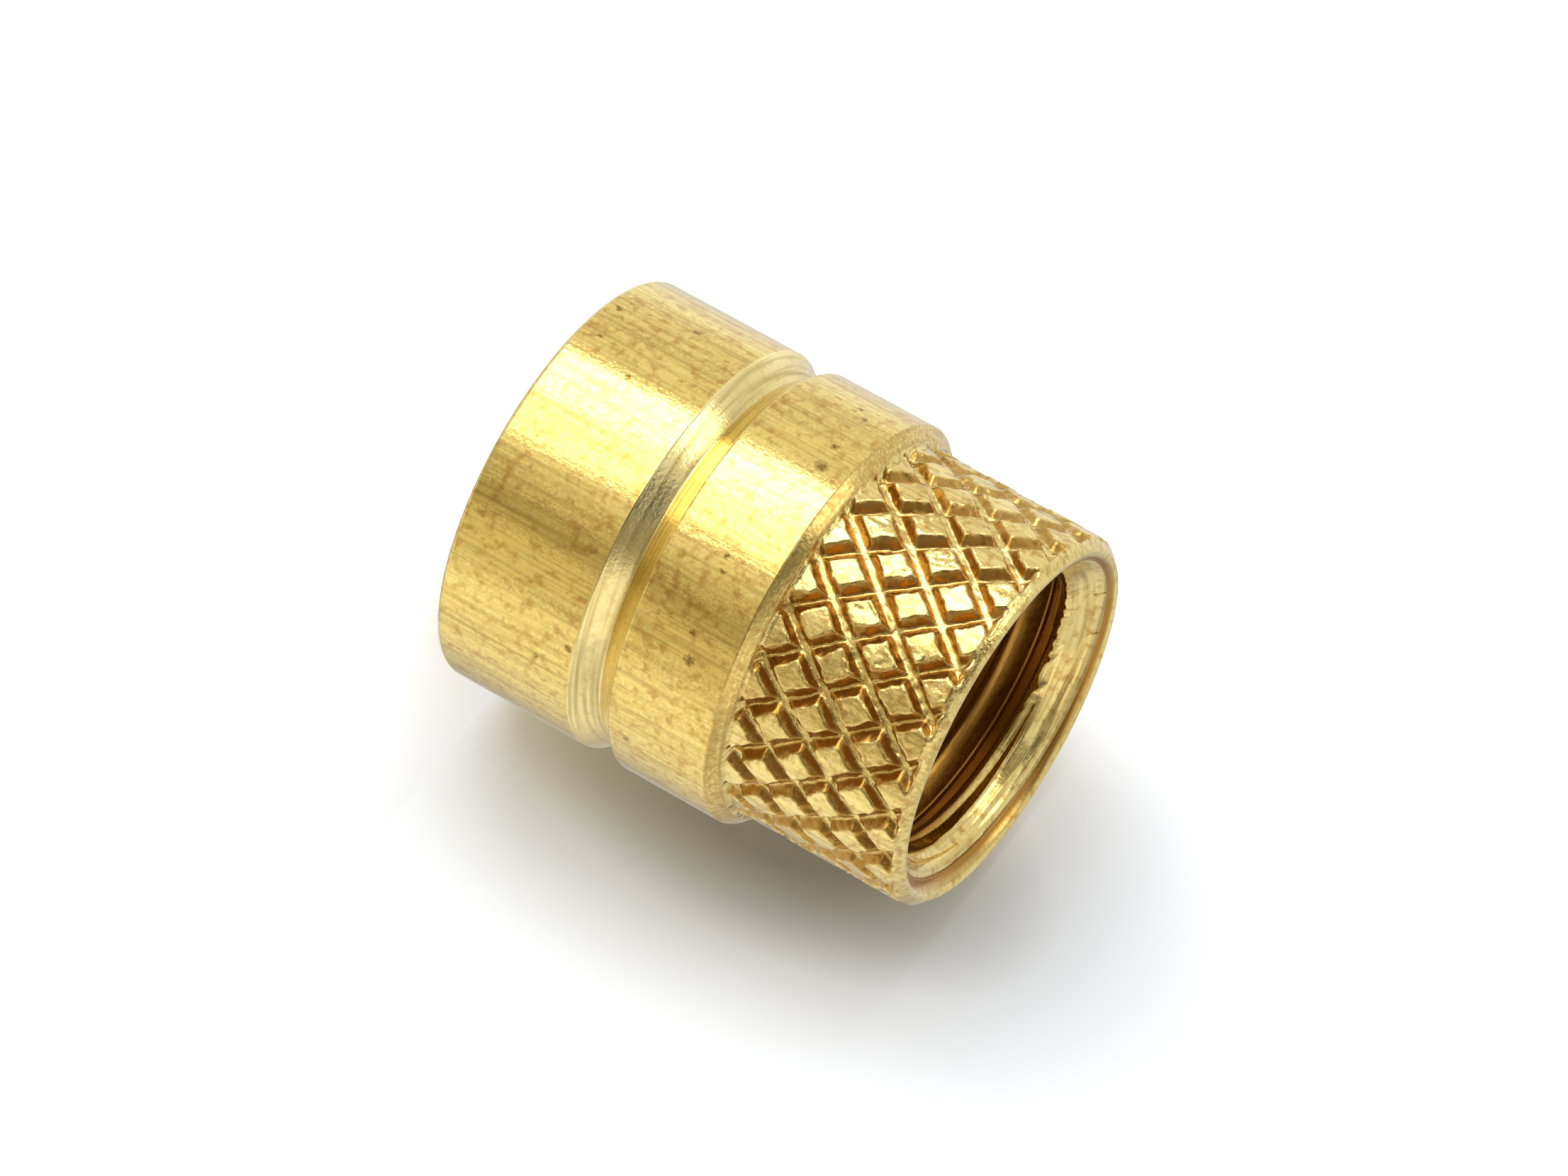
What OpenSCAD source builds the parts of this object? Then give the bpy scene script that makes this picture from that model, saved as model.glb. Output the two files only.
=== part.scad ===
// Lock nut in brass: a smooth turned body with a round-bottomed groove, and a
// slimmer neck with a diamond knurl at the mouth. It stands on its smooth end
// with its axis along Z. The thread through it is a fine metric one, given
// here by its tap drill.

/* [Body] */
// Diameter of the smooth body
body_d = 10; // [9.8:0.1:14]
// Length over all
length = 12; // [11:0.5:24]
// Edge break round the standing end
edge_break = 0.08; // [0.02:0.01:0.3]

/* [Groove] */
// Height at which the groove begins
groove_z = 3.55; // [1:0.05:4.5]
// Width of the groove at the surface
groove_w = 1.1; // [0.6:0.05:1.5]
// Depth of the groove
groove_depth = 0.45; // [0.2:0.05:0.6]
// Radius at the bottom of the groove
groove_root_r = 0.15; // [0.05:0.01:0.2]

/* [Neck] */
// Height at which the smooth body ends
shoulder_z = 7.18; // [6.2:0.02:8]
// Diameter over the knurl
neck_d = 9.2; // [9:0.05:9.5]
// Chamfer round the mouth of the neck
neck_chamfer = 0.25; // [0.1:0.05:0.4]

/* [Knurl] */
// Number of grooves in each direction
knurl_count = 22; // [16:1:30]
// Angle of the grooves to the axis, in degrees
knurl_angle = 39.6; // [30:0.1:45]
// Depth of the grooves
knurl_depth = 0.26; // [0.1:0.01:0.3]
// Share of the pitch left flat on each pad
knurl_flat = 0.51; // [0.2:0.01:0.6]
// Height at which the knurl begins
knurl_z = 7.45; // [7.2:0.05:9]
// Height of the first row of crossings above the start of the knurl
knurl_phase = 0.05; // [0:0.05:0.4]

/* [Thread] */
// Nominal diameter of the thread
thread_d = 8; // [6:0.5:8]
// Pitch of the thread
thread_pitch = 1; // [0.75:0.25:1.25]

/* [Mouth] */
// Width of the flat lip round the mouth
lip_w = 0.05; // [0.02:0.01:0.08]
// Depth of the dished face inside the lip
dish_depth = 0.2; // [0.1:0.05:0.4]

/* [Hidden] */
$fn = 96;

// How far cutters run past the surfaces that they cut
past = 1;
body_r = body_d / 2;
neck_r = neck_d / 2;
// The thread's crests are the wall of the drilled bore
bore_r = (thread_d - 1.0825 * thread_pitch) / 2;
// The 45 degree chamfers at the bore's ends reach the nominal diameter
lead_in = thread_d / 2 - bore_r;
// Outer radius of the dished face
dish_r = neck_r - neck_chamfer - lip_w;

knurl_root_r = neck_r - knurl_depth;
// The sides of a pad, drawn on past its flat top, meet at this radius
knurl_peak_r = knurl_root_r + knurl_depth / (1 - knurl_flat);
// Distance between two rows of crossings, along the axis
knurl_row = PI * neck_r / knurl_count / tan(knurl_angle);
knurl_first_row = knurl_z + knurl_phase;
knurl_rows_below = ceil((knurl_phase + past) / knurl_row);
knurl_rows_above = ceil((length + past - knurl_first_row) / knurl_row);

// Points of an arc about c, from angle a0 to a1 in n steps
function arc(c, r, a0, a1, n) =
    [for (i = [0 : n]) c + r * [cos(a0 + (a1 - a0) * i / n), sin(a0 + (a1 - a0) * i / n)]];

// Outline of the turned body and neck, as radius and height
module turned_outline() {
    polygon([
        [0, 0],
        [body_r - edge_break, 0],
        [body_r, edge_break],
        [body_r, shoulder_z],
        [neck_r, shoulder_z + body_r - neck_r],
        [neck_r, length - neck_chamfer],
        [neck_r - neck_chamfer, length],
        [0, length]
    ]);
}

// Outline of the groove: two straight flanks that run into a rounded bottom
module groove_outline() {
    half_w = groove_w / 2;
    // Slope of the flanks, so that they touch the bottom arc at its depth
    reach = sqrt(half_w ^ 2 + (groove_depth - groove_root_r) ^ 2);
    flank = atan2(groove_depth - groove_root_r, half_w) + asin(groove_root_r / reach);
    run_out = past / tan(flank);
    translate([body_r, groove_z + half_w])
        polygon(concat(
            [[past, -half_w - run_out]],
            arc([groove_root_r - groove_depth, 0], groove_root_r, 270 - flank, 90 + flank, 6),
            [[past, half_w + run_out]]
        ));
}

// The pads of the knurl as a faceted core. Each row alternates between the
// crossings of the grooves and the peaks of the pads, and the next row is
// turned by half a pitch, so the grooves run along the diagonals.
module knurl_core() {
    per_row = 2 * knurl_count;
    rows = knurl_rows_below + knurl_rows_above;
    points = [
        for (j = [0 : rows], k = [0 : per_row - 1])
            let (crossing = (j + k) % 2 == 0,
                 r = crossing ? knurl_root_r : knurl_peak_r,
                 a = k * 360 / per_row,
                 z = knurl_first_row + (j - knurl_rows_below) * knurl_row)
                [r * cos(a), r * sin(a), z]
    ];
    sides = [
        for (j = [0 : rows - 1], k = [0 : per_row - 1])
            let (k2 = (k + 1) % per_row,
                 low = j * per_row,
                 high = low + per_row,
                 rising = (j + k) % 2 == 0)
                for (face = rising
                        ? [[low + k, high + k2, low + k2], [low + k, high + k, high + k2]]
                        : [[low + k, high + k, low + k2], [low + k2, high + k, high + k2]])
                    face
    ];
    bottom = [for (k = [0 : per_row - 1]) k];
    top = [for (k = [per_row - 1 : -1 : 0]) rows * per_row + k];
    polyhedron(points, concat([bottom], sides, [top]));
}

// What the knurling wheels press out of the neck
module knurl_grooves() {
    difference() {
        translate([0, 0, knurl_z])
            cylinder(r = body_r + past, h = length - knurl_z + past / 2);
        knurl_core();
    }
}

// Tapped bore through the nut, with a chamfer at each end
module bore() {
    translate([0, 0, -past])
        cylinder(r = bore_r, h = length + 2 * past);
    for (end = [0, 1])
        translate([0, 0, end * (length - dish_depth)])
            mirror([0, 0, end])
                translate([0, 0, -past])
                    cylinder(r1 = bore_r + lead_in + past, r2 = bore_r, h = lead_in + past);
}

// The face of the mouth slopes in from its lip to the chamfer of the bore
module dish() {
    rise = dish_depth + past;
    mouth_r = thread_d / 2;
    translate([0, 0, length - dish_depth])
        cylinder(r1 = mouth_r, r2 = mouth_r + (dish_r - mouth_r) * rise / dish_depth, h = rise);
}

module lock_nut() {
    color("goldenrod")
        difference() {
            rotate_extrude()
                turned_outline();
            rotate_extrude()
                groove_outline();
            knurl_grooves();
            bore();
            dish();
        }
}

lock_nut();
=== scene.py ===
"""Looks of the brass lock nut: one mesh with its knurl and thread, a pale floor and a pale card."""

from math import asin, atan2, ceil, cos, hypot, pi, radians, sin, tan

import bmesh
import bpy
import numpy as np
from mathutils import Matrix, Vector, noise


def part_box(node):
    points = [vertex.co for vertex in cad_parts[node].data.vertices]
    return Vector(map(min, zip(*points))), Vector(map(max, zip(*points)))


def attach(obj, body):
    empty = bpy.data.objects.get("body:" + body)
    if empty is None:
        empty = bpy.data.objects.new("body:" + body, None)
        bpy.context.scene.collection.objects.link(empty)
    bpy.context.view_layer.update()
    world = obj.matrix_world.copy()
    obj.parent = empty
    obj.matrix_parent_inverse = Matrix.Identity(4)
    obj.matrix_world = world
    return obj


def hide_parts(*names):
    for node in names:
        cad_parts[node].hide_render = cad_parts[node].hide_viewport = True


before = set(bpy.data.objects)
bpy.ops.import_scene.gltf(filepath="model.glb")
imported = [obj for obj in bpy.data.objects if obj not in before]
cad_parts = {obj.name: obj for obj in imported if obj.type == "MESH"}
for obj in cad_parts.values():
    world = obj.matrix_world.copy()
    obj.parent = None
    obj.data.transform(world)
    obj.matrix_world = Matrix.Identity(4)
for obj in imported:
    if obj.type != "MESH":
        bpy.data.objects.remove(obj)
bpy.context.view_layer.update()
scene = bpy.context.scene
scene.view_settings.view_transform = "Standard"

MM = 0.001

# ---------------------------------------------------------------- sizes, in mm
LENGTH = (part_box("lock_nut")[1] / MM).z
BODY_R = 5.0
EDGE_BREAK = 0.08

GROOVE_Z = 3.55                # height at which the groove begins
GROOVE_W = 1.1
GROOVE_DEPTH = 0.45
GROOVE_ROOT_R = 0.05

SHOULDER_Z = 7.18
NECK_R = 4.6
NECK_CHAMFER = 0.25
EDGE_R = 0.035                 # softness of the turned edges

KNURL_COUNT = 22
KNURL_ANGLE = radians(39.6)
KNURL_DEPTH = 0.26
KNURL_WALL = 0.22              # half a groove's width at the top, as a share of the pitch
LEFT_FLOOR = 0.03              # the same at the bottom, for the grooves that rise to the left
RIGHT_FLOOR = 0.08             # and for those that rise to the right
LEFT_SHARE = 0.95              # depth of the grooves that rise to the left, next to the others
KNURL_Z = 7.45                 # height at which the knurl begins
KNURL_FIRST_Z = 7.55           # height of the first row of crossings
KNURL_PITCH_Z = 2 * pi * NECK_R / KNURL_COUNT / tan(KNURL_ANGLE)
CRISP_SIDE = radians(268)      # the knurl is crisp about this angle, and worn away from it
WORN_AWAY = 0.35               # share of the depth that is lost where it is most worn
LIP_PLAIN = 0.1                # height of plain metal at the lip, above which no groove runs
# How far the knurl strays from true. The grooves' places and widths are in pitches, the rest in mm
GROOVE_SWAY = 0.03
WALL_BROAD, WALL_FINE = 0.055, 0.035
PAD_LEAN = 0.028
PAD_BROAD, PAD_FINE = 0.024, 0.02
WORN_BROAD, WORN_FINE = 0.03, 0.02
BURR_HEIGHT, BURR_WIDTH = 0.05, 0.04
FOOT_HEIGHT, FOOT_BURR = 0.2, 0.07     # the ragged metal pushed up where the knurl begins
SMOOTH_END, FOOT_SWAY, FOOT_CLEAR = 0.05, 0.035, 0.04  # and how the shoulder gives way to it

THREAD_R = 4.0
THREAD_PITCH = 1.0
THREAD_START = 0.2255          # height of the root's middle at angle 0, in pitches
CREST_FROM, CREST_TO = 0.42, 0.58      # where the crest lies between two roots, in pitches
CREST_R = THREAD_R - 0.54125 * THREAD_PITCH
ROOT_R = 3.95
TORN_Z = 10.5                  # above this the crest's upper edge is torn,
TORN_ANGLE = radians(118)      # about this angle
RUN_OUT_Z = 10.9               # above this the thread fades into the countersink
RUN_OUT_DEPTH = 0.07           # of the thread where it has faded

LIP_R = 4.34
DISH_DEPTH = 0.2               # the mouth's face slopes in by this
DISH_R = 4.25
# The small step at the dish's inner edge: height above the edge, and radius
DISH_EDGE = ((0.05, 4.075), (0.005, 4.065), (-0.035, 4.05), (-0.02, 4.01), (-0.01, THREAD_R))
MOUTH_SWAY = 0.1               # the dish's inner edge runs a little out of true,
MOUTH_TURN = radians(72.8)     # rising past this angle

# Columns of the mesh: in a pitch of the knurl, round the knurl, the body and the hidden bore
KNURL_STEPS = 28
KNURL_COLUMNS = KNURL_COUNT * KNURL_STEPS
BODY_COLUMNS = KNURL_COLUMNS // 2
BORE_COLUMNS = KNURL_COLUMNS // 8
THREAD_TOP_Z = 9.0             # the turns above this height show in the mouth
HIDDEN_ROWS, SHOWN_ROWS = 8, 18        # rows of the mesh to a turn of the thread

# ---------------------------------------------------------------- camera
IMAGE_W, IMAGE_H = 2212, 1659
SENSOR_W = 36.0                # in mm, as is the lens
LENS = 161.58
END_CENTRE_PX = (796.6, 675.1) # where the centre of the smooth end falls in the photograph
END_DEPTH = 158.65 * MM        # its distance into the picture
AXIS_FALL = radians(28.93)     # how the nut's axis falls to the right in the picture
AXIS_NEAR = radians(18.20)     # how it leans towards the camera
NUT_TURN = radians(9.18)       # the nut's turn about its own axis


def nut_axes():
    """Columns are the nut's X, Y and Z along the camera's right, up and back."""
    back = Vector((0, 0, 1))
    z = Vector((cos(AXIS_NEAR) * cos(AXIS_FALL), -cos(AXIS_NEAR) * sin(AXIS_FALL), sin(AXIS_NEAR)))
    x = z.cross(back).normalized()
    x.rotate(Matrix.Rotation(NUT_TURN, 3, z))
    return Matrix((x, z.cross(x), z)).transposed()


def make_camera():
    data = bpy.data.cameras.new("camera")
    data.sensor_width = SENSOR_W
    data.lens = LENS
    data.clip_start = 1 * MM
    data.clip_end = 100
    camera = bpy.data.objects.new("camera", data)
    scene.collection.objects.link(camera)
    scene.camera = camera

    focal_px = LENS / SENSOR_W * IMAGE_W
    right = (END_CENTRE_PX[0] - IMAGE_W / 2) / focal_px
    down = (END_CENTRE_PX[1] - IMAGE_H / 2) / focal_px
    end_centre = Vector((right, -down, -1)) * END_DEPTH
    to_nut = nut_axes().transposed()
    camera.matrix_world = Matrix.Translation(-(to_nut @ end_centre)) @ to_nut.to_4x4()


# ---------------------------------------------------------------- mesh
class Surface:
    """Rings of vertices joined by bands of faces. Lengths are in mm."""

    def __init__(self):
        self.points = []
        self.depths = []
        self.faces = []
        self.slots = []

    def point(self, r, angle, z, depth=0.0):
        """Adds a vertex and returns its index. Its depth is 1 on the walls of a deep cut, whose
        brass it browns with tarnish and painted shade.
        """
        self.points.append((r * cos(angle), r * sin(angle), z))
        self.depths.append(depth)
        return len(self.points) - 1

    def ring(self, radii, heights, count, depths=0.0):
        """Adds a ring and returns the indices of its vertices."""
        radii, heights, depths = (np.broadcast_to(v, count) for v in (radii, heights, depths))
        return [
            self.point(radii[k], 2 * pi * k / count, heights[k], depths[k]) for k in range(count)
        ]

    def face(self, corners, slot):
        """Adds a face, unless its corners fall together."""
        corners = list(dict.fromkeys(corners))
        if len(corners) > 2:
            self.faces.append(corners)
            self.slots.append(slot)

    def band(self, low, high, slot):
        """Joins two rings. One may have a whole number of times the vertices of the other."""
        if len(low) < len(high):
            self.band(high, low, slot)
            return
        share = len(low) // len(high)
        for k in range(len(high)):
            start = k * share
            arc = [low[(start + i) % len(low)] for i in range(share + 1)]
            near, far = high[k], high[(k + 1) % len(high)]
            if share == 1:
                self.face([arc[0], arc[1], far, near], slot)
                continue
            middle = share // 2
            for i in range(share):
                self.face([arc[i], arc[i + 1], near if i < middle else far], slot)
            self.face([near, arc[middle], far], slot)

    def knurled_band(self, low, high, row, slot):
        """Joins two rings of the knurl, each square split along the nearer groove."""
        count = len(low)
        for k in range(count):
            n = (k + 1) % count
            s, t = (k + 0.5) / KNURL_STEPS, (row + 0.5) / KNURL_STEPS
            if off_line(s + t) < off_line(s - t):
                self.face([low[k], low[n], high[k]], slot)
                self.face([low[n], high[n], high[k]], slot)
            else:
                self.face([low[k], low[n], high[n]], slot)
                self.face([low[k], high[n], high[k]], slot)


def off_line(x):
    """Distance from the nearest whole number."""
    return abs(x - np.round(x))


def smooth(x):
    """0 below 0, 1 above 1 and an even rise between."""
    x = np.clip(x, 0, 1)
    return x * x * (3 - 2 * x)


def fbm(points, scale, octaves=3):
    """Fractal noise at points in mm, about -1 to 1, with features 1 / scale mm wide."""
    return np.array([noise.fractal(Vector(p) * scale, 1.0, 2.0, octaves) for p in points])


def rounded(outline, radius, steps=3):
    """The outline with each corner between its ends turned into a small arc."""
    out = [outline[0]]
    for before, corner, after in zip(outline, outline[1:], outline[2:]):
        here = Vector(corner[:2])
        back, ahead = Vector(before[:2]) - here, Vector(after[:2]) - here
        reach = min(radius, back.length * 0.4, ahead.length * 0.4)
        start, end = here + back.normalized() * reach, here + ahead.normalized() * reach
        for i in range(steps + 1):
            f = i / steps
            p = start * (1 - f) ** 2 + here * 2 * f * (1 - f) + end * f ** 2
            out.append((p.x, p.y, corner[2]))
    return out + [outline[-1]]


# Material slots of the nut, in the order of the list that make_nut is given
SKIN, TURNED, GROOVE, SHOULDER, KNURL, THREAD = range(6)
ARC_STEPS = 4                  # faces of each half of the groove's round bottom


def groove_points():
    """The groove from its lower to its upper edge: straight sides and a round bottom."""
    half = GROOVE_W / 2
    rise = GROOVE_DEPTH - GROOVE_ROOT_R
    flank = atan2(rise, half) + asin(GROOVE_ROOT_R / hypot(half, rise))
    middle = GROOVE_Z + half
    turns = (i / ARC_STEPS * flank for i in range(-ARC_STEPS, ARC_STEPS + 1))
    bottom = [(BODY_R - GROOVE_DEPTH + GROOVE_ROOT_R * (1 - cos(a)),
               middle + GROOVE_ROOT_R * sin(a), GROOVE) for a in turns]
    return (BODY_R, GROOVE_Z, GROOVE), bottom, (BODY_R, GROOVE_Z + GROOVE_W, SKIN)


def body_outline(foot_z):
    """From the smooth end's inner edge, out and up to the shoulder's foot at foot_z. Each point
    is (r, z, slot), and the slot is for the band above it."""
    low_edge, bottom, high_edge = groove_points()
    below = [
        (THREAD_R, 0, TURNED),
        (BODY_R - EDGE_BREAK, 0, TURNED),
        (BODY_R, EDGE_BREAK, SKIN),
        low_edge,
        bottom[0],
    ]
    above = [
        bottom[-1],
        high_edge,
        (BODY_R, SHOULDER_Z, SHOULDER),
        (BODY_R - (foot_z - SHOULDER_Z), foot_z, SHOULDER),
    ]
    return rounded(below, EDGE_R) + bottom[1:-1] + rounded(above, EDGE_R)


def around(radius, count, height):
    """Points in mm, evenly round the axis."""
    angle = 2 * pi * np.arange(count) / count
    return np.stack([radius * np.cos(angle), radius * np.sin(angle), np.full(count, height)], 1)


def shoulder_r(z):
    """Radius of the shoulder's chamfer at a height."""
    return BODY_R - (z - SHOULDER_Z)


def knurl_ring(surface, z):
    """Adds one ring of the knurl: pads between two families of flat-bottomed grooves."""
    s = np.arange(KNURL_COLUMNS) / KNURL_STEPS
    t = (z - KNURL_FIRST_Z) / KNURL_PITCH_Z
    spots = around(NECK_R, KNURL_COLUMNS, z)
    sway = GROOVE_SWAY * fbm(spots, 1.6)
    wide = KNURL_WALL + WALL_BROAD * fbm(spots, 2.5, 2) + WALL_FINE * fbm(spots, 7, 2)
    leftward, rightward = off_line(s + t + sway), off_line(s - t + sway)
    near = np.minimum(leftward, rightward)
    depth = np.maximum(LEFT_SHARE * np.clip((wide - leftward) / (wide - LEFT_FLOOR), 0, 1),
                       np.clip((wide - rightward) / (wide - RIGHT_FLOOR), 0, 1))
    # 1 on the grooves' walls, less at their edges and on their floors: the walls' tarnish and
    # painted shade
    wall_tarnish_and_shade = np.clip(6 * np.minimum(depth, 1.03 - depth), 0, 1)
    lean = PAD_LEAN * fbm(spots, 0.9, 2)
    rough = PAD_BROAD * fbm(spots, 3.3) + PAD_FINE * fbm(spots, 8, 2)
    # 0 up to 41 degrees from the crisp side, and 1 from 83 degrees on
    worn = smooth(1.2 - 1.6 * np.cos(2 * pi * s / KNURL_COUNT - CRISP_SIDE))
    rough = rough + worn * (WORN_BROAD * fbm(spots, 2.2) + WORN_FINE * fbm(spots, 6, 2))
    fade = (1 - WORN_AWAY * worn) * smooth((LENGTH - LIP_PLAIN - z) / NECK_CHAMFER)
    depth, wall_tarnish_and_shade = fade * depth, fade * wall_tarnish_and_shade
    burr = np.exp(-(((near - wide) / BURR_WIDTH) ** 2))
    burr = BURR_HEIGHT * burr * np.clip(fbm(spots, 2.2), 0, 1)
    r = NECK_R - KNURL_DEPTH * depth + lean + rough + burr
    if z < KNURL_Z + FOOT_HEIGHT:
        r = r + FOOT_BURR * np.clip(fbm(spots, 5), 0, 1)
        r = np.minimum(r, shoulder_r(z) + 0.04)
    r = np.minimum(r, NECK_R - max(0, z - LENGTH + NECK_CHAMFER))
    return surface.ring(r, z, KNURL_COLUMNS, wall_tarnish_and_shade)


def lead_in(z):
    """Radius of the countersinks: at the foot, and deeper at the mouth below its dished face."""
    return THREAD_R - min(z, LENGTH - DISH_DEPTH - z)


def thread_wall(z, angle):
    """Radius of the tapped bore, with its countersinks and a torn upper edge to each crest."""
    phase = z / THREAD_PITCH - angle / (2 * pi) - THREAD_START
    phase -= np.floor(phase)
    turn = round(z / THREAD_PITCH - phase)
    spot = Vector((THREAD_R * cos(angle), THREAD_R * sin(angle), turn))
    # 1 up to 26 degrees from the torn angle, and 0 from 46 degrees on
    torn = smooth(5 * cos(angle - TORN_ANGLE) - 3.5) * (z > TORN_Z)
    tear = 0.01 + 0.35 * torn * max(0, noise.fractal(spot * 5, 1.0, 2.0, 3)) ** 1.3
    if 0 < phase - CREST_TO < tear:
        phase = CREST_TO
    r = ROOT_R - (ROOT_R - CREST_R) * min(1, off_line(phase) / CREST_FROM)
    if z > RUN_OUT_Z:
        r = min(r, max(CREST_R, lead_in(z)) + RUN_OUT_DEPTH)
    r += 0.008 * noise.noise(spot * 2) + 0.003 * noise.noise(Vector((spot.x, spot.y, z)) * 9)
    return max(r, lead_in(z))


def add_thread(surface, low, high, z_low, z_high, steps):
    """Joins two rings of the bore by rows that follow the thread, with so many steps to a turn."""
    count = len(low)
    turns = range(-2, ceil(LENGTH / THREAD_PITCH) + 1)
    rows = [turn * steps + j for turn in turns for j in range(steps)]
    slack = 0.2 * THREAD_PITCH / steps
    at = {}
    for i in range(count):
        angle = 2 * pi * i / count
        for j in rows:
            z = (j / steps + THREAD_START + i / count) * THREAD_PITCH
            if z <= z_low + slack:
                at[i, j] = low[i]
            elif z >= z_high - slack:
                at[i, j] = high[i]
            else:
                # Deep in the bore the brass is browned all over: painted shade.
                deep = smooth((RUN_OUT_Z + 0.2 - z) / 0.3)
                at[i, j] = surface.point(thread_wall(z, angle), angle, z, deep)
    for i in range(count):
        n, up = (0, steps) if i == count - 1 else (i + 1, 0)
        for j in rows[:-1]:
            right_low = at.get((n, j + up), high[n])
            right_high = at.get((n, j + 1 + up), high[n])
            surface.face([at[i, j], right_low, right_high, at[i, j + 1]], THREAD)


def add_outside(surface):
    """Adds the nut from the smooth end's inner edge up to the lip. Returns its two end rings."""
    outline = body_outline(KNURL_Z - SMOOTH_END)
    foot = surface.ring(outline[0][0], outline[0][1], BORE_COLUMNS)
    low, low_slot = foot, outline[0][2]
    for r, z, slot in outline[1:]:
        high = surface.ring(r, z, BODY_COLUMNS)
        surface.band(low, high, low_slot)
        low, low_slot = high, slot

    ragged = KNURL_Z + FOOT_SWAY * fbm(around(BODY_R, KNURL_COLUMNS, 0), 3)
    high = surface.ring(shoulder_r(ragged), ragged, KNURL_COLUMNS)
    surface.band(low, high, low_slot)
    low = high
    row_height = KNURL_PITCH_Z / KNURL_STEPS
    first_row = ceil((KNURL_Z + FOOT_CLEAR - KNURL_FIRST_Z) / row_height)
    last_row = round((LENGTH - KNURL_FIRST_Z) / row_height)
    for row in range(first_row, last_row + 1):
        z = LENGTH if row == last_row else KNURL_FIRST_Z + row * row_height
        high = knurl_ring(surface, z)
        surface.knurled_band(low, high, row - 1, KNURL)
        low = high
    return foot, low


def add_mouth(surface, low):
    """Adds the lip, the dished face and its inner edge. Returns the ring at the thread."""
    for z, r in ((LENGTH, LIP_R), (LENGTH, DISH_R + 0.02), (LENGTH - 0.01, DISH_R - 0.01)):
        high = surface.ring(r, z, BODY_COLUMNS)
        surface.band(low, high, TURNED)
        low = high
    turn = 2 * pi * np.arange(BODY_COLUMNS) / BODY_COLUMNS
    sway = MOUTH_SWAY * np.sin(turn - MOUTH_TURN)
    for above, r in DISH_EDGE:
        # The small step is browned into a dark line, the ring at the thread a little: painted
        # shade.
        depth = 1.0 if r > THREAD_R else 0.3
        z = LENGTH - DISH_DEPTH + above
        high = surface.ring(r + 0.5 * sway, z + sway, BODY_COLUMNS, depth)
        surface.band(low, high, THREAD)
        low = high
    return low


def add_bore(surface, foot, mouth):
    """Adds the threaded bore, with a finer mesh where it shows."""
    rings = []
    for count in (BORE_COLUMNS, BODY_COLUMNS):
        radii = [thread_wall(THREAD_TOP_Z, 2 * pi * i / count) for i in range(count)]
        # These rings, deep in the bore, are browned fully: painted shade.
        rings.append(surface.ring(radii, THREAD_TOP_Z + 0.001 * len(rings), count, 1.0))
    surface.band(rings[0], rings[1], THREAD)
    top_z = LENGTH - DISH_DEPTH - MOUTH_SWAY - 0.01
    add_thread(surface, foot, rings[0], 0, THREAD_TOP_Z, HIDDEN_ROWS)
    add_thread(surface, rings[1], mouth, THREAD_TOP_Z, top_z, SHOWN_ROWS)


def make_nut(materials):
    surface = Surface()
    foot, lip = add_outside(surface)
    add_bore(surface, foot, add_mouth(surface, lip))

    mesh = bpy.data.meshes.new("lock_nut_brass")
    mesh.from_pydata([Vector(p) * MM for p in surface.points], [], surface.faces)
    for material in materials:
        mesh.materials.append(material)
    mesh.polygons.foreach_set("material_index", surface.slots)
    mesh.attributes.new("depth", "FLOAT", "POINT").data.foreach_set("value", surface.depths)
    bm = bmesh.new()
    bm.from_mesh(mesh)
    bmesh.ops.recalc_face_normals(bm, faces=bm.faces)
    bm.to_mesh(mesh)
    bm.free()
    mesh.shade_smooth()
    nut = bpy.data.objects.new("lock_nut_brass", mesh)
    scene.collection.objects.link(nut)
    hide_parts("lock_nut")
    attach(nut, "root")


# ---------------------------------------------------------------- materials
def add(tree, kind, inputs=None, **settings):
    """Adds a node. An input's value is a number, a few numbers or another node's socket."""
    node = tree.nodes.new(kind)
    for name, value in settings.items():
        setattr(node, name, value)
    for name, value in (inputs or {}).items():
        socket = node.inputs[name]
        if isinstance(value, bpy.types.NodeSocket):
            tree.links.new(value, socket)
        else:
            socket.default_value = value
    return node


def new_material(name):
    material = bpy.data.materials.new(name)
    material.use_nodes = True
    tree = material.node_tree
    tree.nodes.clear()
    return material, tree


# Colours of the bar skin, its pale grain, the turned cuts, the groove's paler brass (painted
# light), tarnish, stains, the shoulder's darker brass (painted shade), the walls of deep cuts
# (tarnish and painted shade) and the small dark marks
BRASS = (0.84, 0.63, 0.18, 1)
PALE = (0.88, 0.70, 0.25, 1)
CREAM = (0.86, 0.68, 0.27, 1)
GROOVE_PAINTED_LIGHT = (0.91, 0.77, 0.38, 1)
TARNISH = (0.45, 0.32, 0.09, 1)
STAIN = (0.50, 0.28, 0.07, 1)
SHOULDER_PAINTED_SHADE = (0.62, 0.43, 0.13, 1)
DEEP_TARNISH_AND_SHADE = (0.37, 0.18, 0.028, 1)
OXIDE = (0.15, 0.065, 0.012, 1)

GRAIN_HEIGHT = 0.003           # of the bumps, in mm
RAGGED = 0.2                   # how far the edges of the small dark marks are drawn about, in mm

# Small dark marks on the bar skin: height, angle round the nut in degrees, and radius
SPECKS = (
    (2.05, 203, 0.06), (0.35, 210, 0.05), (0.55, 222, 0.05), (1.7, 229, 0.05), (2.65, 309, 0.05),
    (3.4, 301, 0.06), (6.1, 197, 0.06), (6.4, 201, 0.05), (6.45, 217, 0.05), (6.55, 225, 0.1),
    (5.95, 258, 0.05), (6.05, 262, 0.05), (6.05, 279, 0.05), (6.2, 286, 0.08), (5.1, 321, 0.06),
)


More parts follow.
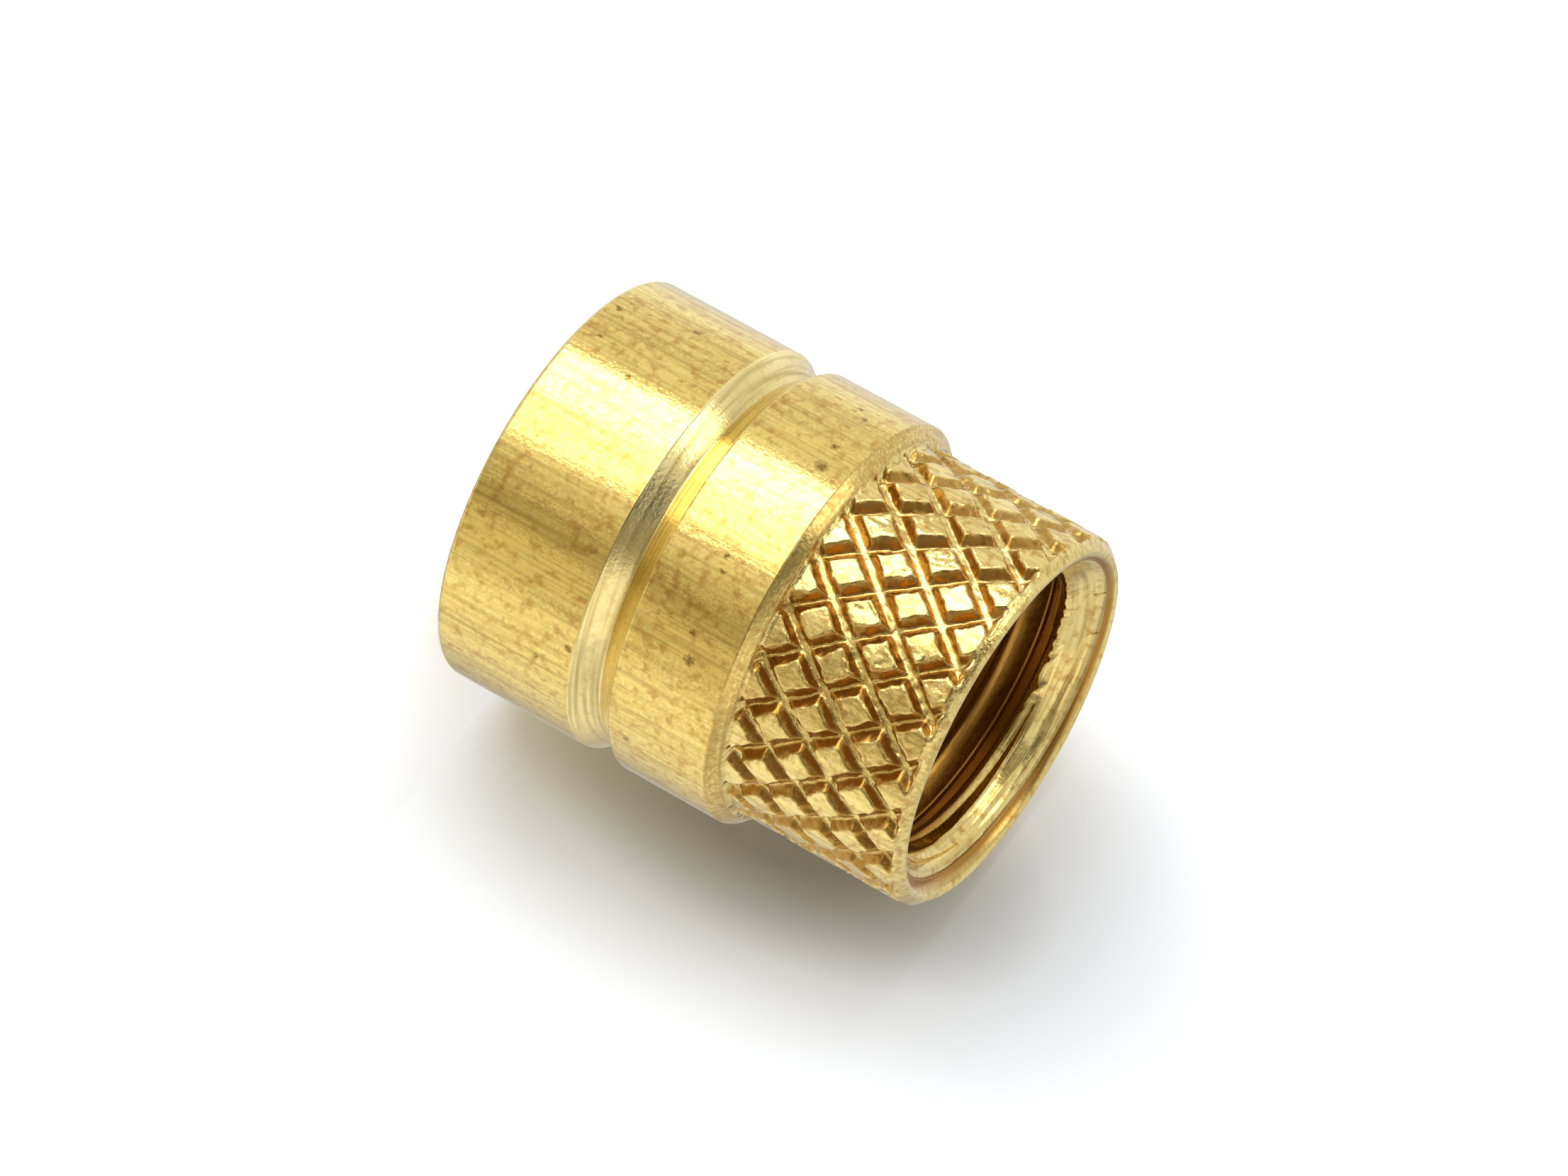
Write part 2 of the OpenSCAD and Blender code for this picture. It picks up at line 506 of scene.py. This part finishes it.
def mapped(tree, value, low, high, to_low, to_high):
    """The value, scaled from one range to another and held at its ends."""
    return add(tree, "ShaderNodeMapRange",
               {"Value": value, "From Min": low, "From Max": high,
                "To Min": to_low, "To Max": to_high}).outputs[0]


def vector(tree, operation, first, second):
    """A sum, difference or product of two vectors, part by part."""
    return add(tree, "ShaderNodeVectorMath", {0: first, 1: second}, operation=operation).outputs[0]


def noise_of(tree, where, scale, detail=3.0):
    return add(tree, "ShaderNodeTexNoise",
               {"Vector": where, "Scale": scale, "Detail": detail}).outputs["Fac"]


def mixed(tree, factor, first, second):
    return add(tree, "ShaderNodeMix", {"Factor": factor, 6: first, 7: second},
               data_type="RGBA").outputs[2]


def in_mm(tree):
    """Place on the nut, in mm."""
    where = add(tree, "ShaderNodeTexCoord").outputs["Object"]
    return add(tree, "ShaderNodeVectorMath", {0: where, "Scale": 1 / MM},
               operation="SCALE").outputs[0]


def along_axis(tree, where):
    """Coordinates stretched along the axis, for the lines of drawn bar."""
    return vector(tree, "MULTIPLY", where, (1, 1, 0.03))


def round_axis(tree, where):
    """Coordinates that change with radius and height but hardly round the axis, for lathe lines."""
    flat = vector(tree, "MULTIPLY", where, (1, 1, 0))
    radius = add(tree, "ShaderNodeVectorMath", {0: flat}, operation="LENGTH").outputs["Value"]
    height = add(tree, "ShaderNodeSeparateXYZ", {0: where}).outputs["Z"]
    spun = add(tree, "ShaderNodeCombineXYZ", {"X": radius, "Z": height}).outputs[0]
    return vector(tree, "ADD", spun, vector(tree, "MULTIPLY", flat, (0.04, 0.04, 0)))


def specks(tree, where):
    """1 inside the small dark marks, which have ragged edges."""
    ragged = add(tree, "ShaderNodeTexNoise", {"Vector": where, "Scale": 11.0, "Detail": 2.0})
    shift = vector(tree, "MULTIPLY", ragged.outputs["Color"], (RAGGED,) * 3)
    place = vector(tree, "ADD", where, shift)
    total = None
    for height, angle, radius in SPECKS:
        a = radians(angle)
        centre = [part + RAGGED / 2 for part in (BODY_R * cos(a), BODY_R * sin(a), height)]
        away = add(tree, "ShaderNodeVectorMath", {0: place, 1: centre},
                   operation="DISTANCE").outputs["Value"]
        inside = mapped(tree, away, radius * 2.0, radius * 0.8, 0.0, 1.0)
        if total is not None:
            inside = add(tree, "ShaderNodeMath", {0: total, 1: inside},
                         operation="MAXIMUM").outputs[0]
        total = inside
    return total


def brass(name, lines_along, base=BRASS, roughness=0.09, grain=1.5, line=1.0, stain=0.85,
          marked=False, cut=0.0):
    """Brass with fine lines, grain, thin tarnish and stains. Grain and line are the strengths of
    the bumps. Where cut is more than 0, the walls of deep cuts are rougher and browner, with
    tarnish and painted shade."""
    material, tree = new_material(name)
    where = in_mm(tree)
    stretched = lines_along(tree, where)
    lines = noise_of(tree, stretched, 10.0, 5.0)
    grains = noise_of(tree, where, 12.0, 3.0)
    mottle = noise_of(tree, where, 4.5, 5.0)
    patches = noise_of(tree, stretched, 1.3, 5.0)
    colour = mixed(tree, mapped(tree, patches, 0.42, 0.72, 0.0, 0.6), base, TARNISH)
    colour = mixed(tree, mapped(tree, grains, 0.42, 0.65, 0.0, 0.9), colour, PALE)
    colour = mixed(tree, mapped(tree, lines, 0.45, 0.7, 0.0, 0.75), colour, TARNISH)
    colour = mixed(tree, mapped(tree, mottle, 0.5, 0.7, 0.0, stain), colour, STAIN)
    if marked:
        colour = mixed(tree, mapped(tree, specks(tree, where), 0, 1, 0, 0.75), colour, OXIDE)
    rough = mapped(tree, mottle, 0.3, 0.7, roughness * 0.7, roughness * 1.5)
    if cut:
        # Browner towards the deep cuts and in the bore: tarnish and painted shade.
        depth = add(tree, "ShaderNodeAttribute", attribute_name="depth").outputs["Fac"]
        colour = mixed(tree, mapped(tree, depth, 0.1, 0.9, 0.0, cut), colour, DEEP_TARNISH_AND_SHADE)
        rougher = mapped(tree, depth, 0.1, 0.9, 0.0, 0.14)
        rough = add(tree, "ShaderNodeMath", {0: rough, 1: rougher}, operation="ADD").outputs[0]
    fine = add(tree, "ShaderNodeBump",
               {"Height": grains, "Distance": GRAIN_HEIGHT * MM, "Strength": grain})
    lined = add(tree, "ShaderNodeBump",
                {"Height": lines, "Distance": GRAIN_HEIGHT * MM, "Strength": line,
                 "Normal": fine.outputs[0]})
    shader = add(tree, "ShaderNodeBsdfPrincipled",
                 {"Base Color": colour, "Metallic": 1.0, "Roughness": rough,
                  "Normal": lined.outputs[0]})
    add(tree, "ShaderNodeOutputMaterial", {"Surface": shader.outputs[0]})
    return material


# ---------------------------------------------------------------- studio
UP_ANGLE = 231.3               # angle round the nut of the photograph's upright direction
KEY_DISTANCE = 0.5
KEY_ELEVATION = -18.4          # degrees, where the camera's reflection in the body looks
KEY_HEIGHT = 45                # degrees
CARD = 0.12                    # side of the card that stands for the photograph's table
CARD_GAP = 0.02                # between the card and the nut, in mm
TABLE = (0.79, 0.82, 0.86, 1)
TABLE_ROUGHNESS = 0.9
SHADE_REACH = (1.2 * MM, 3.6 * MM)     # the painted shade under the nut fades out between these distances
STUDIO_LEVEL = 0.88
LOW_REACH = (8, 30)            # degrees, between which what stands low down gives way to the room
# What stands round the nut, low down: angle, light level and how warm it is. The table's shadow,
# the pale room, the person behind the camera and the room again
AROUND = (
    (18, 1.08, 0.0), (33, 1.03, 0.1), (48, 0.72, 0.3), (60, 0.52, 0.5), (75, 0.6, 0.2),
    (110, 0.98, 0.0), (128, 1.15, -0.3), (140, 1.12, 0.0), (150, 0.97, 0.1), (250, 1.02, 0.15),
    (264, 0.96, 0.3), (269, 0.8, 0.6), (277, 0.77, 0.6), (281, 0.52, 0.9), (294, 0.54, 0.9),
    (298, 0.78, 0.7), (313, 0.82, 0.7), (322, 0.98, 0.4), (345, 1.22, 0.1),
)
# Angle, elevation, inner and outer radius in degrees, level and how warm: the camera, the person
# above it, a row of dark gaps in the ceiling's light, and two lit patches beside them
ZONES = (
    (265, 22, 16, 28, 0.2, 0.5),
    (290, 38, 14, 28, 0.45, 0.5),
    (215, 67, 6, 14, 0.35, 0.8),
    (236, 60, 5, 10, 0.15, -0.3),
    (254, 60, 5, 10, 0.17, -0.2),
    (272, 59, 5, 10, 0.34, 0.5),
    (187, 50, 10, 15, 2.6, 0.1),
    (325, 50, 10, 24, 1.2, 0.2),
)


def direction(angle, elevation):
    """Unit vector at a row angle and an elevation, both in degrees."""
    a, e = radians(angle), radians(elevation)
    return Vector((cos(a) * cos(e), sin(a) * cos(e), sin(e)))


def facing(way):
    """Rotation whose Z is the given direction and whose X is level."""
    z = way.normalized()
    x = Vector((0, 0, 1)).cross(z).normalized()
    return Matrix((x, z.cross(x), z)).transposed().to_4x4()


def softbox(name, angle, width, radiance):
    """A rectangular lamp that spans so many degrees, seen from the nut."""
    way = direction(angle, KEY_ELEVATION)
    data = bpy.data.lights.new(name, "AREA")
    data.shape = "RECTANGLE"
    data.size = 2 * KEY_DISTANCE * tan(radians(width / 2))
    data.size_y = 2 * KEY_DISTANCE * tan(radians(KEY_HEIGHT / 2))
    data.energy = radiance * pi * data.size * data.size_y
    lamp = bpy.data.objects.new(name, data)
    scene.collection.objects.link(lamp)
    centre = Vector((0, 0, LENGTH / 2 * MM))
    lamp.matrix_world = Matrix.Translation(centre + way * KEY_DISTANCE) @ facing(way)
    lamp.visible_camera = False


def tinted(level, warm):
    """A grey of the given level, turned towards yellow where warm is above 0."""
    return (level, level * (1 - 0.12 * warm), level * (1 - 0.4 * warm), 1)


def zone(tree, towards, angle, elevation, inner, outer):
    """1 well inside a cone about a direction and 0 outside it. Angles are in degrees."""
    dot = add(tree, "ShaderNodeVectorMath", {0: towards, 1: direction(angle, elevation)},
              operation="DOT_PRODUCT").outputs["Value"]
    return add(tree, "ShaderNodeMapRange",
               {"Value": dot, "From Min": cos(radians(outer)), "From Max": cos(radians(inner))},
               interpolation_type="SMOOTHSTEP").outputs[0]


def make_world():
    """White for the camera. The rest sees a plain studio, darker where people and things stand."""
    world = bpy.data.worlds.new("studio")
    scene.world = world
    world.use_nodes = True
    tree = world.node_tree
    tree.nodes.clear()
    towards = add(tree, "ShaderNodeTexCoord").outputs["Generated"]
    parts = add(tree, "ShaderNodeSeparateXYZ", {0: towards}).outputs
    angle = add(tree, "ShaderNodeMath", {0: parts["Y"], 1: parts["X"]},
                operation="ARCTAN2").outputs[0]
    turn = add(tree, "ShaderNodeMath", {0: angle, 1: 1 / (2 * pi)}, operation="MULTIPLY").outputs[0]
    turn = add(tree, "ShaderNodeMath", {0: turn}, operation="FRACT").outputs[0]
    ramp = add(tree, "ShaderNodeValToRGB", {"Fac": turn})
    stops = ramp.color_ramp.elements
    for place, level, warm in AROUND:
        stop = stops[0] if place == AROUND[0][0] else stops.new(place / 360)
        stop.position = place / 360
        stop.color = tinted(level, warm)
    stops.remove(max(stops, key=lambda stop: stop.position))
    high = mapped(tree, parts["Z"], *(sin(radians(edge)) for edge in LOW_REACH), 0, 1)
    room = mixed(tree, high, ramp.outputs["Color"], (STUDIO_LEVEL,) * 3 + (1,))
    for place, elevation, inner, outer, level, warm in ZONES:
        inside = zone(tree, towards, place, elevation, inner, outer)
        room = mixed(tree, inside, room, tinted(level, warm))
    seen = add(tree, "ShaderNodeLightPath").outputs["Is Camera Ray"]
    colour = mixed(tree, seen, room, (1, 1, 1, 1))
    background = add(tree, "ShaderNodeBackground", {"Color": colour, "Strength": 1.0})
    add(tree, "ShaderNodeOutputWorld", {"Surface": background.outputs[0]})


def sheet(name, size, matrix, material, sides=4):
    """A flat stage piece with a number of sides."""
    mesh = bpy.data.meshes.new(name)
    turns = [2 * pi * (i + 0.5) / sides for i in range(sides)]
    reach = size / 2 / cos(pi / sides)
    mesh.from_pydata([(reach * cos(a), reach * sin(a), 0) for a in turns], [], [range(sides)])
    mesh.materials.append(material)
    piece = bpy.data.objects.new(name, mesh)
    piece.matrix_world = matrix
    scene.collection.objects.link(piece)
    return piece


def pale(name, centre=(0, 0, 0), near=0.0, far=1.0, low=0.0, high=0.0, shade=1.0,
         one_sided=False):
    """Pale matt sheet. Part of its white is added for the camera alone, more of it further from
    the centre, so that a painted shade lies about the centre. Distances along the nut's axis
    count half. Shade is the share of the sheet's colour that is left at the centre, also
    painted shade."""
    material, tree = new_material(name)
    seen = add(tree, "ShaderNodeLightPath").outputs["Is Camera Ray"]
    geometry = add(tree, "ShaderNodeNewGeometry").outputs
    offset = vector(tree, "SUBTRACT", geometry["Position"], centre)
    offset = vector(tree, "MULTIPLY", offset, (1, 1, 0.5))
    away = add(tree, "ShaderNodeVectorMath", {0: offset}, operation="LENGTH").outputs["Value"]
    # Less white for the camera and a darker colour near the centre: painted shade.
    lift = mapped(tree, away, near, far, low, high)
    dark = tuple(shade * level for level in TABLE[:3]) + (1,)
    colour = mixed(tree, mapped(tree, away, *SHADE_REACH, 0, 1), dark, TABLE)
    lifted = add(tree, "ShaderNodeMath", {0: seen, 1: lift}, operation="MULTIPLY").outputs[0]
    surface = add(tree, "ShaderNodeBsdfPrincipled",
                  {"Base Color": colour, "Roughness": TABLE_ROUGHNESS, "Specular IOR Level": 0.2,
                   "Emission Color": (1, 1, 1, 1), "Emission Strength": lifted})
    if one_sided:
        clear = add(tree, "ShaderNodeBsdfTransparent")
        surface = add(tree, "ShaderNodeMixShader", {
            0: geometry["Backfacing"], 1: surface.outputs[0], 2: clear.outputs[0]})
    add(tree, "ShaderNodeOutputMaterial", {"Surface": surface.outputs[0]})
    return material


def make_floor():
    """The floor, and a disc that keeps the light from below out of the bore."""
    # Centre of a painted shadow beside the nut's foot, where the floor gets less white for the
    # camera.
    centre = -direction(UP_ANGLE, 0) * (BODY_R + 3) * MM
    material = pale("floor", centre, 2 * MM, 12 * MM, 0.1, 0.6)
    floor = sheet("floor", 3.0, Matrix.Identity(4), material)
    floor.visible_glossy = False
    floor.visible_shadow = False
    raised = Matrix.Translation((0, 0, 0.02 * MM))
    sheet("under_nut", 1.96 * BODY_R * MM, raised, pale("under_nut"), 48)


def make_card():
    """A card along the nut's flank, where the photograph has its table, to catch the shadow."""
    way = direction(UP_ANGLE, 0)
    foot = -way * (BODY_R + CARD_GAP) * MM
    level = Vector((0, 0, 1)).cross(way)
    # Centre of a painted shadow on the card: near it the card is darker and gets less white for the
    # camera.
    centre = foot + level * 2 * MM + Vector((0, 0, 0.6 * LENGTH * MM))
    material = pale("card", centre, 2.5 * MM, 10 * MM, 0.03, 0.5, shade=0.45, one_sided=True)
    at = Matrix.Translation(foot + Vector((0, 0, CARD / 2 - 1 * MM)))
    card = sheet("card", CARD, at @ facing(way), material)
    card.visible_glossy = False
    card.visible_diffuse = False
    card.visible_shadow = False


make_camera()
make_world()
softbox("key_upper", 210.8, 24, 3.4)
softbox("key_lower", 236.8, 28, 1.6)
make_floor()
make_card()
make_nut([
    brass("brass_bar_skin", along_axis, marked=True),
    brass("brass_turned", round_axis, base=CREAM, roughness=0.11, grain=1.2),
    # The groove's brass is paler: painted light.
    brass("brass_groove", round_axis, base=GROOVE_PAINTED_LIGHT, roughness=0.12, stain=0.3),
    # The shoulder's brass is darker: painted shade.
    brass("brass_shoulder", round_axis, base=SHOULDER_PAINTED_SHADE, roughness=0.2),
    brass("brass_knurl", along_axis, base=CREAM, roughness=0.12, grain=3.5, line=0.4, cut=0.9),
    brass("brass_thread", round_axis, base=CREAM, roughness=0.13, grain=1.0, cut=0.95),
])
